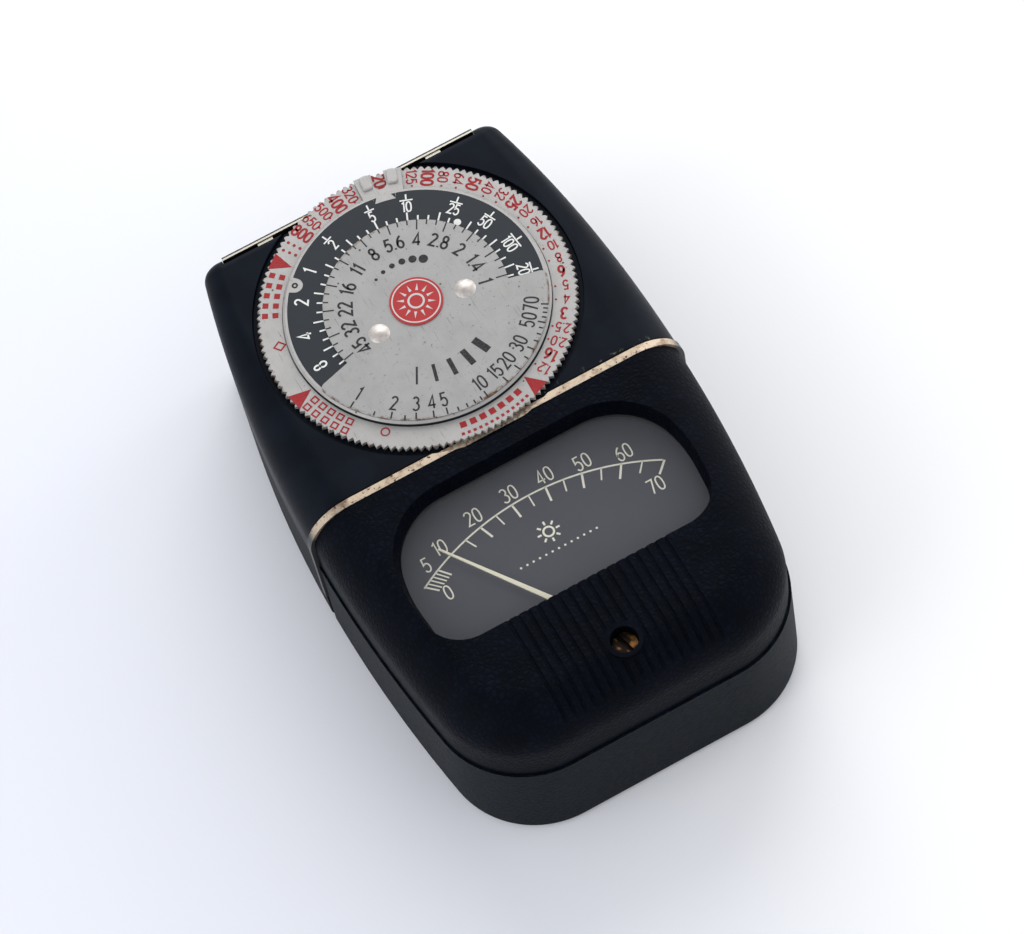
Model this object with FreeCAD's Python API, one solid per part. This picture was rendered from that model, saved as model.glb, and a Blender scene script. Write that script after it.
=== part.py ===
import FreeCAD, Part
import math
import os

# Selenium exposure meter lying on its back, in millimetres.
# +X is to the right across the dial, +Y runs from the meter scale to the light opening, +Z is up out of
# the dial face. The origin is on the resting plane, in the joint plane between base and hood.
# The base is at -Y, the hood that slides off it is at +Y.

# ---- case ------------------------------------------------------------------------------------------
HALF_WIDTH = 29.65        # half of the case's width, widest at the joint
BASE_LENGTH = 45.4        # joint plane to the rounded end of the base
HOOD_LENGTH = 44.8        # joint plane to the light opening's plane
HEIGHT = 31.0             # resting plane to the crown
SEAM_Z = 18.5             # parting line between back and front shells
BASE_SIDE_R = 213.0       # plan radius of the base's bowed sides
HOOD_SIDE_R = 174.0       # plan radius of the hood's bowed sides
BASE_CORNER_R = 14.0      # plan radius of the base's end corners
CROWN_R = 7.0             # rounding of the crown's edge
CROWN_END_R = 3.0         # the hood's crown tightens to this at the open end
POST_R = 2.2              # rounding around the light opening's end
BACK_R = 1.5              # rounding around the resting face
FRONT_INSET = 0.35        # front shell of the base stands in from the back shell
WALL = 2.0
BAND_HALF = 0.55          # half of the trim band's width
BAND_THICK = 0.8
BAND_PROUD = 0.35         # band stands out of the side walls
BAND_FOOT_Z = 9.0         # where the band's legs end on the side walls
HOOD_START = 0.8          # rear face of the hood

# ---- dial ------------------------------------------------------------------------------------------
DIAL_Y = 22.4
RING_R = 23.0
TEETH = 136
TOOTH_DEPTH = 0.62
WELL_R = 23.6             # shallow well in the case around the dial
WELL_Z = 30.4
RING_TOP = 31.3
RING_INNER_R = 19.35      # raised outer track of the ring starts here
HUB_R = 9.0
RUNNING = 0.05            # radial clearance of a turning fit
DISC_R = 19.2
PLATE_ARC_R = 13.4        # f-stop arc of the top plate
PLATE_SECTOR_R = 18.9     # light scale sector of the top plate
SECTOR_DROP = 15.5        # degrees by which the sector's edges fall below the horizontal
RIVET_X = 6.9
RIVET_DY = -1.8
TAB_ANGLES = (-7.6, -18.0)   # finger tabs, degrees from +Y, negative is clockwise
TAB_R = (20.2, 22.7)         # inner and outer ends of the tabs
POINTER_ANGLE = -12.8     # middle of the disc's index window

# ---- window and movement ---------------------------------------------------------------------------
GLASS_Z = 28.4            # top of the window glass
GLASS_THICK = 1.2
PLATE_Z = 25.6            # printed face of the scale plate
PIVOT_Y = -32.8
NEEDLE_ANGLE = 33.8       # degrees from +Y towards -X at the reading shown
SCREW_Y = -38.2           # zero screw
ECCENTRIC = 0.6
GROOVES = 17
GROOVE_PITCH = 1.525
GROOVE_R = 0.28
GROOVE_TURN = 40.0        # degrees by which the grooves follow the crown's end before they fade

# ---- light opening and cover -----------------------------------------------------------------------
OPENING_HALF = 20.6       # half of the gap between the two end posts
HINGE_Y = 43.9
HINGE_Z = 1.9
COVER_THICK = 0.5

V = FreeCAD.Vector
UP = V(0, 0, 1)
ALONG = V(0, 1, 0)
os.makedirs("parts", exist_ok=True)


# ---- helpers ---------------------------------------------------------------------------------------
def box(x0, x1, y0, y1, z0, z1):
    return Part.makeBox(x1 - x0, y1 - y0, z1 - z0, V(x0, y0, z0))


def rod(r, x, y, z0, z1):
    return Part.makeCylinder(r, z1 - z0, V(x, y, z0))


def tube(r_out, r_in, x, y, z0, z1):
    return rod(r_out, x, y, z0, z1).cut(rod(r_in, x, y, z0 - 1, z1 + 1))


def rod_x(r, x0, x1, y, z):
    return Part.makeCylinder(r, x1 - x0, V(x0, y, z), V(1, 0, 0))


def fuse(*shapes):
    solid = shapes[0].fuse(list(shapes[1:])) if len(shapes) > 1 else shapes[0]
    return solid.removeSplitter()


def group(*solids):
    return Part.makeCompound(list(solids))


def mirrored(solid):
    return solid.mirror(V(0, 0, 0), V(1, 0, 0))


def pair(solid):
    return group(solid, mirrored(solid))


def turned(shape, degrees, x, y):
    copy = shape.copy()
    copy.rotate(V(x, y, 0), UP, degrees)
    return copy


def export(node, shape):
    shape.exportStep("parts/" + node + ".step")


def rounded_wire(points):
    """A closed wire in the XY plane through corner points (x, y, radius), each corner rounded."""
    count = len(points)
    ends = []
    for i, (x, y, r) in enumerate(points):
        here = V(x, y, 0)
        before = V(*points[i - 1][:2], 0) - here
        after = V(*points[(i + 1) % count][:2], 0) - here
        half = before.getAngle(after) / 2
        reach = r / math.tan(half) if r else 0
        before.normalize()
        after.normalize()
        bisector = before + after
        bisector.normalize()
        middle = here + bisector * (r / math.sin(half) - r)
        ends.append((here + before * reach, middle, here + after * reach))
    edges = []
    for i, (first, middle, last) in enumerate(ends):
        if first.distanceToPoint(last) > 1e-6:
            edges.append(Part.Arc(first, middle, last).toShape())
        following = ends[(i + 1) % count][0]
        if last.distanceToPoint(following) > 1e-6:
            edges.append(Part.LineSegment(last, following).toShape())
    return Part.Wire(Part.__sortEdges__(edges))


def slab(points, z0, z1):
    face = Part.Face(rounded_wire(points))
    solid = face.extrude(V(0, 0, z1 - z0))
    solid.translate(V(0, 0, z0))
    return solid


def side_x(y, inset):
    """Half-width of the bowed case at y, moved in by inset."""
    r = HOOD_SIDE_R if y > 0 else BASE_SIDE_R
    return HALF_WIDTH - r + math.sqrt((r - inset) ** 2 - y * y)


def plan_prism(y0, y1, z0, z1, inset):
    """The bowed plan outline between y0 and y1, both on one side of the joint, raised from z0 to z1."""
    ys = (y0, (y0 + y1) / 2, y1)
    right = [V(side_x(y, inset), y, z0) for y in ys]
    left = [V(-p.x, p.y, z0) for p in right]
    edges = [
        Part.Arc(*right).toShape(),
        Part.LineSegment(right[2], left[2]).toShape(),
        Part.Arc(left[2], left[1], left[0]).toShape(),
        Part.LineSegment(left[0], right[0]).toShape(),
    ]
    return Part.Face(Part.Wire(edges)).extrude(V(0, 0, z1 - z0))


def edges_where(shape, test):
    return [edge for edge in shape.Edges if test(edge.BoundBox)]


def is_upright(b, y):
    return b.ZLength > 1 and b.XLength < 0.01 and abs(b.YMin - y) < 0.01 and b.YLength < 0.01


def base_block(z0, z1, inset, crown_r=0.0, foot_r=0.0, y1=-BAND_HALF):
    """The base's rounded plan raised from z0 to z1, with the crown or the foot rounded."""
    end = -BASE_LENGTH + inset
    solid = plan_prism(end, y1, z0, z1, inset)
    solid = solid.makeFillet(BASE_CORNER_R - inset, edges_where(solid, lambda b: is_upright(b, end)))
    if crown_r:
        crown = edges_where(solid, lambda b: b.ZMin > z1 - 0.01 and b.YMin < y1 - 0.5)
        solid = solid.makeFillet(crown_r, crown)
    if foot_r:
        foot = edges_where(solid, lambda b: b.ZMax < z0 + 0.01 and b.YMin < y1 - 0.5)
        solid = solid.makeFillet(foot_r, foot)
    return solid


def hood_block(z0, z1, inset, y0, y1, crown_r=(), foot_r=0.0, end_r=0.0):
    """The hood's bowed plan raised from z0 to z1; crown_r is the crown's radius at y0 and at y1."""
    solid = plan_prism(y0, y1, z0, z1, inset)
    if crown_r:
        for side in (-1, 1):
            long_top = edges_where(
                solid, lambda b: b.ZMin > z1 - 0.01 and b.YLength > 10 and b.Center.x * side > 1)
            first = long_top[0].Vertexes[0].Point.y < long_top[0].Vertexes[-1].Point.y
            near, far = crown_r if first else crown_r[::-1]
            solid = solid.makeFillet(near, far, long_top)
        if end_r:
            rim = edges_where(solid, lambda b: b.YMin > y1 - 0.01 and b.ZMax > z0 + 0.01)
            solid = solid.makeFillet(end_r, rim)
    if foot_r:
        solid = solid.makeFillet(end_r, edges_where(solid, lambda b: is_upright(b, y1)))
        foot = edges_where(solid, lambda b: b.ZMax < z0 + 0.01 and b.YMax > y0 + 0.01)
        solid = solid.makeFillet(foot_r, foot)
    return solid


def dial_well(lower=0.0):
    """The well around the dial with its slightly flared side, the floor lowered by the given amount."""
    deep = 4.0
    cone = Part.makeCone(WELL_R, WELL_R + 0.2 * deep, deep, V(0, DIAL_Y, WELL_Z))
    cone.translate(V(0, 0, -lower))
    return cone


def joint_section(outset, y0, y1, z0, top):
    """The case's cross-section at the joint, from z0 to top, moved out by outset, between y0 and y1."""
    half = HALF_WIDTH + outset
    points = [(-half, z0, 0), (half, z0, 0), (half, top, CROWN_R + outset), (-half, top, CROWN_R + outset)]
    face = Part.Face(rounded_wire(points))
    face.rotate(V(0, 0, 0), V(1, 0, 0), 90)
    face.translate(V(0, y0, 0))
    return face.extrude(V(0, y1 - y0, 0))


# ---- base shells -----------------------------------------------------------------------------------
WINDOW = [
    (-21.0, -27.4, 5.2), (21.0, -27.4, 5.2), (21.9, -16.5, 20.0), (19.6, -4.8, 10.5),
    (-19.6, -4.8, 10.5), (-21.9, -16.5, 20.0),
]
CASE_BOSSES = ((20.5, -35.5, 29.4), (25.0, -4.6, 28.6))   # x, y and top of each boss
BOSS_R = 2.0
CASE_SCREW_R = 0.9
NECK_HALF = 23.0          # half-width of the cell frame's neck
NECK_Z = (3.5, 24.6)
LIP = 0.8                 # depth by which the lip under the band stands in


def window_block(grow, z0, z1):
    """The window's outline grown by the given amount, between two heights."""
    centre_y = -15.7
    points = [(x + math.copysign(grow, x), y + math.copysign(grow, y - centre_y), r + grow)
              for x, y, r in WINDOW]
    for i in (2, 5):
        points[i] = (WINDOW[i][0] + math.copysign(grow, WINDOW[i][0]), WINDOW[i][1], WINDOW[i][2] + grow)
    return slab(points, z0, z1)


def window_bezel():
    """The sloped cut around the window, from the glass up to the crown."""
    wires = []
    for grow, z in ((0.0, GLASS_Z - 0.01), (0.9, HEIGHT + 0.4)):
        points = []
        for i, (x, y, r) in enumerate(WINDOW):
            dy = 0 if i in (2, 5) else math.copysign(grow, y + 15.7)
            if i < 2:
                dy = 0
            points.append((x + math.copysign(grow, x), y + dy, r + grow))
        wire = rounded_wire(points)
        wire.translate(V(0, 0, z))
        wires.append(wire)
    return Part.makeLoft(wires, True, True)


def neck_hole():
    return box(-NECK_HALF, NECK_HALF, -6.2, 3, NECK_Z[0], NECK_Z[1])


def crown_grooves():
    """Fine parallel grooves from the window over the base's end, stopping short of the zero screw."""
    lift = 0.04
    turn_y = -BASE_LENGTH + FRONT_INSET + CROWN_R
    turn_z = HEIGHT - CROWN_R
    r = CROWN_R + lift

    def on_turn(degrees):
        a = math.radians(degrees)
        return V(0, turn_y - r * math.sin(a), turn_z + r * math.cos(a))

    foot = on_turn(GROOVE_TURN)
    a = math.radians(GROOVE_TURN)
    leave = foot + V(0, -2.6 * math.cos(a), -2.6 * math.sin(a))
    start = V(0, -27.2, HEIGHT + lift)
    path = Part.Wire([
        Part.LineSegment(start, on_turn(0)).toShape(),
        Part.Arc(on_turn(0), on_turn(GROOVE_TURN / 2), foot).toShape(),
        Part.LineSegment(foot, leave).toShape(),
    ])
    profile = Part.Wire(Part.makeCircle(GROOVE_R, start, ALONG))
    cutter = path.makePipeShell([profile], True, False)
    keep_out = rod(2.9, 0, SCREW_Y, 27, 33)
    cutters = []
    for i in range(GROOVES):
        x = (i - (GROOVES - 1) / 2) * GROOVE_PITCH
        groove = cutter.copy()
        groove.translate(V(x, 0, 0))
        cutters.append(groove.cut(keep_out) if abs(x) < 3.3 else groove)
    return cutters


def front_shell():
    inner = FRONT_INSET + WALL
    shell = base_block(SEAM_Z, HEIGHT, FRONT_INSET, crown_r=CROWN_R)
    lip = joint_section(-LIP, -BAND_HALF - 0.01, BAND_HALF, SEAM_Z, HEIGHT - LIP).cut(dial_well(LIP))
    cavity = base_block(SEAM_Z - 1, HEIGHT - WALL, inner, crown_r=CROWN_R - WALL, y1=-2.35)
    mouth = joint_section(-LIP - 1.2, -1.0, 2.0, SEAM_Z - 1, HEIGHT - LIP - 2.6)
    shell = shell.fuse(lip).cut(mouth.common(box(-40, 40, BAND_HALF - 1.1, 2, 0, 40)))
    shell = shell.cut(cavity)
    pad = window_block(1.6, GLASS_Z, HEIGHT - WALL + 0.3)
    floor = box(-30, 30, -30, -2.35, GLASS_Z, HEIGHT - WALL + 0.3)
    shell = shell.fuse(pad.common(floor))
    for x, y, top in CASE_BOSSES:
        boss = rod(BOSS_R, x, y, SEAM_Z, top)
        shell = shell.fuse([boss, mirrored(boss)])
    screw_ring = rod(2.65, 0, SCREW_Y, HEIGHT - WALL - 1.0, HEIGHT + 0.12)
    shell = shell.fuse(screw_ring)
    screw_hole = rod(2.0, 0, SCREW_Y, 25, 40)
    glass_seat = window_block(0, GLASS_Z - 1, GLASS_Z + 0.5)
    for cutter in (dial_well(), window_bezel(), glass_seat, neck_hole(), screw_hole):
        shell = shell.cut(cutter)
    for x, y, _ in CASE_BOSSES:
        hole = rod(CASE_SCREW_R, x, y, SEAM_Z - 1, HEIGHT - 6.6)
        shell = shell.cut([hole, mirrored(hole)])
    return shell.cut(crown_grooves()).removeSplitter()


def back_shell():
    shell = base_block(0, SEAM_Z, 0, foot_r=BACK_R)
    cavity = base_block(WALL, SEAM_Z + 1, WALL, y1=-2.35)
    lip = joint_section(-LIP, -BAND_HALF - 0.01, BAND_HALF, BACK_R + 0.3, SEAM_Z + 20)
    lip = lip.common(box(-40, 40, -1, 1, 0, SEAM_Z))
    inside = HALF_WIDTH - LIP - 1.4
    lip = lip.cut(box(-inside, inside, -BAND_HALF + 0.01, 1, WALL + 0.4, 40))
    shell = shell.fuse(lip).cut(cavity)
    for x, y, _ in CASE_BOSSES:
        boss = rod(BOSS_R + 0.4, x, y, WALL - 0.5, SEAM_Z)
        shell = shell.fuse([boss, mirrored(boss)])
    shell = shell.cut(neck_hole())
    for x, y, _ in CASE_BOSSES:
        hole = rod(CASE_SCREW_R + 0.1, x, y, -1, SEAM_Z + 1)
        sink = rod(1.9, x, y, -1, 1.3)
        shell = shell.cut([hole, mirrored(hole), sink, mirrored(sink)])
    return shell.removeSplitter()


def case_screws():
    screws = []
    for x, y, _ in CASE_BOSSES:
        head = rod(1.8, x, y, 0.15, 1.3).cut(box(x - 2, x + 2, y - 0.25, y + 0.25, -1, 0.65))
        screws.append(head.fuse(rod(CASE_SCREW_R, x, y, 1.3, HEIGHT - 7.0)))
        screws.append(mirrored(screws[-1]))
    return group(*screws)


def trim_band():
    """A bent metal strip over the joint: crown and both sides, dipping through the dial's well."""
    outer = joint_section(BAND_PROUD, -BAND_HALF, BAND_HALF, BAND_FOOT_Z, HEIGHT + 0.05)
    inner = joint_section(-LIP, -1, 1, BAND_FOOT_Z - 1, HEIGHT - LIP)
    inner = inner.cut(dial_well(LIP))
    return outer.cut(dial_well(-0.05)).cut(inner).removeSplitter()


# ---- window, scale and movement --------------------------------------------------------------------
def window_glass():
    return window_block(1.4, GLASS_Z - GLASS_THICK, GLASS_Z)


def glass_retainer():
    z = GLASS_Z - GLASS_THICK
    frame = window_block(1.4, z - 0.6, z).cut(window_block(0.3, z - 1, z + 1))
    return frame


PLATE_HALF = 22.8
PLATE_EARS = ((23.6, -14.0), (23.6, -24.0))


def scale_plate():
    points = [(-PLATE_HALF, -28.2, 2), (PLATE_HALF, -28.2, 2),
              (PLATE_HALF, -2.45, 0), (-PLATE_HALF, -2.45, 0)]
    plate = slab(points, PLATE_Z - 0.6, PLATE_Z)
    for x, y in PLATE_EARS:
        ear = rod(1.8, x, y, PLATE_Z - 0.6, PLATE_Z)
        plate = plate.fuse([ear, mirrored(ear)])
    for x, y in PLATE_EARS:
        hole = rod(0.8, x, y, 20, 30)
        plate = plate.cut([hole, mirrored(hole)])
    return plate.removeSplitter()


def scale_pillars():
    solids = []
    for x, y in PLATE_EARS:
        pillar = rod(1.5, x, y, WALL, PLATE_Z - 0.6).cut(rod(0.7, x, y, 20, 30))
        solids += [pillar, mirrored(pillar)]
    return group(*solids)


def scale_screws():
    solids = []
    for x, y in PLATE_EARS:
        slot = box(x - 2, x + 2, y - 0.18, y + 0.18, PLATE_Z + 0.3, 30)
        head = rod(1.2, x, y, PLATE_Z, PLATE_Z + 0.6).cut(slot)
        screw = head.fuse(rod(0.7, x, y, PLATE_Z - 4, PLATE_Z))
        solids += [screw, mirrored(screw)]
    return group(*solids)


MAGNET_Z = (10.0, 20.0)
MAGNET_IN = 12.0
MAGNET_OUT = 17.0
MAGNET_Y = (-39.0, -17.0, -12.0)
POLE_R = 7.2
CORE_R = 5.0


def magnet():
    outline = [(-MAGNET_OUT, MAGNET_Y[0], 0.6), (-MAGNET_IN, MAGNET_Y[0], 0.6),
               (-MAGNET_IN, MAGNET_Y[1], 2.5), (MAGNET_IN, MAGNET_Y[1], 2.5),
               (MAGNET_IN, MAGNET_Y[0], 0.6), (MAGNET_OUT, MAGNET_Y[0], 0.6),
               (MAGNET_OUT, MAGNET_Y[2], 6.0), (-MAGNET_OUT, MAGNET_Y[2], 6.0)]
    return slab(outline, *MAGNET_Z)


def pole_pieces():
    pole = box(3.5, MAGNET_IN, PIVOT_Y - 5.6, PIVOT_Y + 5.6, MAGNET_Z[0] - 1, MAGNET_Z[1] + 1)
    return pair(pole.cut(rod(POLE_R, 0, PIVOT_Y, 0, 30)))


def movement_frame():
    """Moulded cradle that carries the magnet on the back shell's floor."""
    outline = [(-MAGNET_OUT, MAGNET_Y[0], 1), (-MAGNET_IN, MAGNET_Y[0], 1), (-MAGNET_IN, MAGNET_Y[1], 2),
               (MAGNET_IN, MAGNET_Y[1], 2), (MAGNET_IN, MAGNET_Y[0], 1), (MAGNET_OUT, MAGNET_Y[0], 1),
               (MAGNET_OUT, MAGNET_Y[2], 6.0), (-MAGNET_OUT, MAGNET_Y[2], 6.0)]
    cradle = slab(outline, WALL, MAGNET_Z[0])
    light = box(-MAGNET_OUT + 1.2, -MAGNET_IN - 1.2, MAGNET_Y[0] + 1.5, MAGNET_Y[1], 0, MAGNET_Z[0] - 1.5)
    cradle = cradle.cut([light, mirrored(light)])
    core_post = box(-1.6, 1.6, PIVOT_Y - 9.2, PIVOT_Y - 7.4, WALL, MAGNET_Z[1])
    foot = box(-MAGNET_IN - 0.5, MAGNET_IN + 0.5, PIVOT_Y - 9.2, PIVOT_Y - 7.4, WALL, WALL + 2.0)
    return fuse(cradle, foot, core_post)


def core_bracket():
    arm = box(-1.0, 1.0, PIVOT_Y - 7.4, PIVOT_Y - CORE_R + 0.6, 13.0, 17.0)
    return arm.cut(rod(CORE_R, 0, PIVOT_Y, 0, 30))


def iron_core():
    return rod(CORE_R, 0, PIVOT_Y, MAGNET_Z[0] - 0.8, MAGNET_Z[1] + 0.8).cut(rod(0.9, 0, PIVOT_Y, 0, 30))


def bridge(z0, z1, post_from, post_to):
    bar = slab([(-11.5, PIVOT_Y - 1.5, 1.4), (11.5, PIVOT_Y - 1.5, 1.4), (11.5, PIVOT_Y + 1.5, 1.4),
                (-11.5, PIVOT_Y + 1.5, 1.4)], z0, z1)
    hub = rod(2.2, 0, PIVOT_Y, z0, z1)
    post = rod(1.4, 9.6, PIVOT_Y, post_from, post_to)
    return fuse(bar, hub, post, mirrored(post))


BRIDGE_TOP = (25.0, 26.2)
BRIDGE_LOW = (4.9, 6.1)
JEWEL_R = 0.9


def upper_bridge():
    shape = bridge(*BRIDGE_TOP, MAGNET_Z[1] + 1, BRIDGE_TOP[0] + 0.1)
    screw = rod(0.6, 9.6, PIVOT_Y, 10, 40)
    return shape.cut([rod(JEWEL_R, 0, PIVOT_Y, 20, 40), screw, mirrored(screw)])


def lower_bridge():
    shape = bridge(*BRIDGE_LOW, BRIDGE_LOW[1] - 0.1, MAGNET_Z[0] - 1)
    screw = rod(0.6, 9.6, PIVOT_Y, 0, 20)
    return shape.cut([rod(JEWEL_R, 0, PIVOT_Y, 0, 20), screw, mirrored(screw)])


def jewel_screws():
    """Threaded seats that carry the two jewels; each has a conical cup for the staff's pivot."""
    upper = rod(JEWEL_R, 0, PIVOT_Y, BRIDGE_TOP[0] - 0.2, BRIDGE_TOP[1] + 0.15)
    upper = upper.cut(Part.makeCone(0.5, 0.1, 0.7, V(0, PIVOT_Y, BRIDGE_TOP[0] - 0.2)))
    upper = upper.cut(box(-1, 1, PIVOT_Y - 0.12, PIVOT_Y + 0.12, BRIDGE_TOP[1], 30))
    lower = rod(JEWEL_R, 0, PIVOT_Y, BRIDGE_LOW[0] - 0.15, BRIDGE_LOW[1] + 0.2)
    lower = lower.cut(Part.makeCone(0.1, 0.5, 0.7, V(0, PIVOT_Y, BRIDGE_LOW[1] - 0.5)))
    lower = lower.cut(box(-1, 1, PIVOT_Y - 0.12, PIVOT_Y + 0.12, 0, BRIDGE_LOW[0]))
    return group(upper, lower)


def bridge_screws():
    top = rod(1.1, 9.6, PIVOT_Y, BRIDGE_TOP[1], BRIDGE_TOP[1] + 0.5).cut(
        box(8, 12, PIVOT_Y - 0.15, PIVOT_Y + 0.15, BRIDGE_TOP[1] + 0.25, 30))
    top = top.fuse(rod(0.6, 9.6, PIVOT_Y, MAGNET_Z[1] + 1, BRIDGE_TOP[1]))
    low = rod(1.1, 9.6, PIVOT_Y, BRIDGE_LOW[0] - 0.5, BRIDGE_LOW[0])
    low = low.fuse(rod(0.6, 9.6, PIVOT_Y, BRIDGE_LOW[0], MAGNET_Z[0] - 1))
    return group(top, mirrored(top), low, mirrored(low))


# ---- pointer ---------------------------------------------------------------------------------------
STAFF_R = 0.6
NEEDLE_LOW = 23.3
NEEDLE_HIGH = 26.25
NEEDLE_THICK = 0.3
NEEDLE_REACH = 26.6
RISE = (3.0, 4.2)


def needle():
    """A tapered pointer: a low arm at the staff, a step up past the plate's edge and a long blade."""
    y = PIVOT_Y
    hub = rod(1.1, 0, y, NEEDLE_LOW, NEEDLE_LOW + 0.4)
    low_arm = box(-0.45, 0.45, y, y + RISE[0] + 0.3, NEEDLE_LOW, NEEDLE_LOW + NEEDLE_THICK)
    side = [V(0, y + RISE[0], NEEDLE_LOW), V(0, y + RISE[0] + 0.4, NEEDLE_LOW),
            V(0, y + RISE[1] + 0.3, NEEDLE_HIGH), V(0, y + RISE[1] - 0.1, NEEDLE_HIGH + NEEDLE_THICK),
            V(0, y + RISE[0], NEEDLE_LOW + NEEDLE_THICK)]
    ramp = Part.Face(Part.makePolygon(side + side[:1])).extrude(V(0.84, 0, 0))
    ramp.translate(V(-0.42, 0, 0))
    blade = [V(-0.42, y + RISE[1] - 0.1, 0), V(0.42, y + RISE[1] - 0.1, 0),
             V(0.14, y + NEEDLE_REACH, 0), V(-0.14, y + NEEDLE_REACH, 0)]
    blade = Part.Face(Part.makePolygon(blade + blade[:1])).extrude(V(0, 0, NEEDLE_THICK))
    blade.translate(V(0, 0, NEEDLE_HIGH))
    side_arm = box(-4.4, 4.4, y - 0.25, y + 0.25, NEEDLE_LOW, NEEDLE_LOW + NEEDLE_THICK)
    shape = fuse(hub, low_arm, ramp, blade, side_arm).cut(rod(STAFF_R, 0, y, 20, 30))
    return turned(shape, NEEDLE_ANGLE, 0, y)


def balance_weights():
    solids = []
    for x in (-3.7, 3.7):
        coil = Part.makeCylinder(0.4, 1.0, V(x - 0.5, PIVOT_Y, NEEDLE_LOW + 0.15), V(1, 0, 0))
        arm = box(-4.4, 4.4, PIVOT_Y - 0.25, PIVOT_Y + 0.25, NEEDLE_LOW, NEEDLE_LOW + NEEDLE_THICK)
        solids.append(turned(coil.cut(arm), NEEDLE_ANGLE, 0, PIVOT_Y))
    return group(*solids)


def moving_coil():
    """Rectangular winding on its former, around the core; its sides swing in the pole gap."""
    z0, z1 = MAGNET_Z[0] - 2.5, MAGNET_Z[1] + 2.5
    outer = box(-6.6, 6.6, PIVOT_Y - 1.5, PIVOT_Y + 1.5, z0, z1)
    inner = box(-5.6, 5.6, PIVOT_Y - 2, PIVOT_Y + 2, z0 + 1.3, z1 - 1.3)
    return turned(outer.cut(inner), NEEDLE_ANGLE, 0, PIVOT_Y)


def pointer_staff():
    """Two half-staffs on the coil, each ending in a conical pivot in its jewel."""
    z0, z1 = MAGNET_Z[0] - 2.5, MAGNET_Z[1] + 2.5
    upper = rod(STAFF_R, 0, PIVOT_Y, z1, 24.5).fuse(Part.makeCone(0.3, 0.08, 0.6, V(0, PIVOT_Y, 24.5)))
    lower = rod(STAFF_R, 0, PIVOT_Y, 6.6, z0).fuse(Part.makeCone(0.08, 0.3, 0.6, V(0, PIVOT_Y, 6.0)))
    return group(upper.removeSplitter(), lower.removeSplitter())


def hairspring(z, outer_end, toward):
    """A flat spiral of half-circle turns; its collet clears the staff, its stud is on the side toward."""
    width, height, turns, start, pitch = 0.12, 0.25, 4, 1.15, 0.55
    shape = tube(1.0, STAFF_R + RUNNING, 0, PIVOT_Y, z, z + height)
    shape = shape.fuse(box(0.9, start + width / 2, PIVOT_Y - 0.15, PIVOT_Y + 0.15, z, z + height))
    x = start
    direction = 1
    for _ in range(2 * turns):
        reach = x + (x + pitch / 2)
        centre = direction * (x - reach / 2)
        r = reach / 2
        ring = tube(r + width / 2, r - width / 2, centre, PIVOT_Y, z, z + height)
        half = box(-9, 9, PIVOT_Y, PIVOT_Y + 9, z, z + height) if direction > 0 else \
            box(-9, 9, PIVOT_Y - 9, PIVOT_Y, z, z + height)
        shape = shape.fuse(ring.common(half))
        x = reach - x
        direction = -direction
    stud = rod(0.3, x, PIVOT_Y, min(z, outer_end), max(z + height, outer_end))
    return turned(shape.fuse(stud).removeSplitter(), toward, 0, PIVOT_Y)


# ---- zero adjuster ---------------------------------------------------------------------------------
ARM_Z = (23.95, 24.4)


def zero_screw():
    head = rod(1.8, 0, SCREW_Y, 28.5, 29.6)
    slot = box(-3, 3, -0.35, 0.35, 29.0, 31)
    slot.rotate(V(0, 0, 0), UP, 105)
    slot.translate(V(0, SCREW_Y, 0))
    shank = rod(1.3, 0, SCREW_Y, 25.2, 28.5)
    pin = rod(0.4, 0, SCREW_Y + ECCENTRIC, ARM_Z[0] - 0.2, 25.2)
    return fuse(head.cut(slot), shank, pin)


def zero_arm():
    """Lever around the staff; its fork takes the screw's eccentric pin."""
    ring = tube(2.0, 0.8, 0, PIVOT_Y, *ARM_Z)
    lever = box(-0.9, 0.9, SCREW_Y - 1.2, PIVOT_Y - 1.2, *ARM_Z)
    fork = box(-0.49, 0.49, SCREW_Y - 3, SCREW_Y + ECCENTRIC + 1.0, 20, 30)
    shape = fuse(ring, lever).cut(rod(0.8, 0, PIVOT_Y, 20, 30))
    return shape.cut(fork)


# ---- light cell ------------------------------------------------------------------------------------
CELL_HALF = 21.0
CELL_Z = (4.6, 23.6)


def cell_frame():
    """Moulded neck in the joint plane: it holds the cell and the hood slides over it."""
    outer = box(-NECK_HALF, NECK_HALF, -6.2, 4.5, *NECK_Z)
    opening = box(-CELL_HALF + 1.5, CELL_HALF - 1.5, -7, 5, CELL_Z[0] + 1.5, CELL_Z[1] - 1.5)
    seat = box(-CELL_HALF - 0.4, CELL_HALF + 0.4, -7, -1.4, CELL_Z[0] - 0.1, CELL_Z[1] + 0.1)
    return outer.cut([opening, seat])


def cell_glass():
    return box(-CELL_HALF - 0.3, CELL_HALF + 0.3, -2.6, -1.4, CELL_Z[0], CELL_Z[1])


def cell_contact_ring():
    outer = box(-CELL_HALF, CELL_HALF, -2.9, -2.6, *CELL_Z)
    return outer.cut(box(-CELL_HALF + 1.2, CELL_HALF - 1.2, -4, 0, CELL_Z[0] + 1.2, CELL_Z[1] - 1.2))


def selenium_cell():
    return box(-CELL_HALF, CELL_HALF, -4.1, -2.9, *CELL_Z)


def cell_back_contact():
    """Bowed spring strip that presses the cell forward."""
    bow = Part.Arc(V(-CELL_HALF, -4.1, 0), V(0, -5.6, 0), V(CELL_HALF, -4.1, 0)).toShape()
    back = Part.Arc(V(-CELL_HALF, -4.45, 0), V(0, -5.95, 0), V(CELL_HALF, -4.45, 0)).toShape()
    ends = [Part.LineSegment(V(x, -4.1, 0), V(x, -4.45, 0)).toShape() for x in (-CELL_HALF, CELL_HALF)]
    face = Part.Face(Part.Wire(Part.__sortEdges__([bow, back] + ends)))
    strip = face.extrude(V(0, 0, 6.0))
    strip.translate(V(0, 0, 11.0))
    return strip


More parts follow.
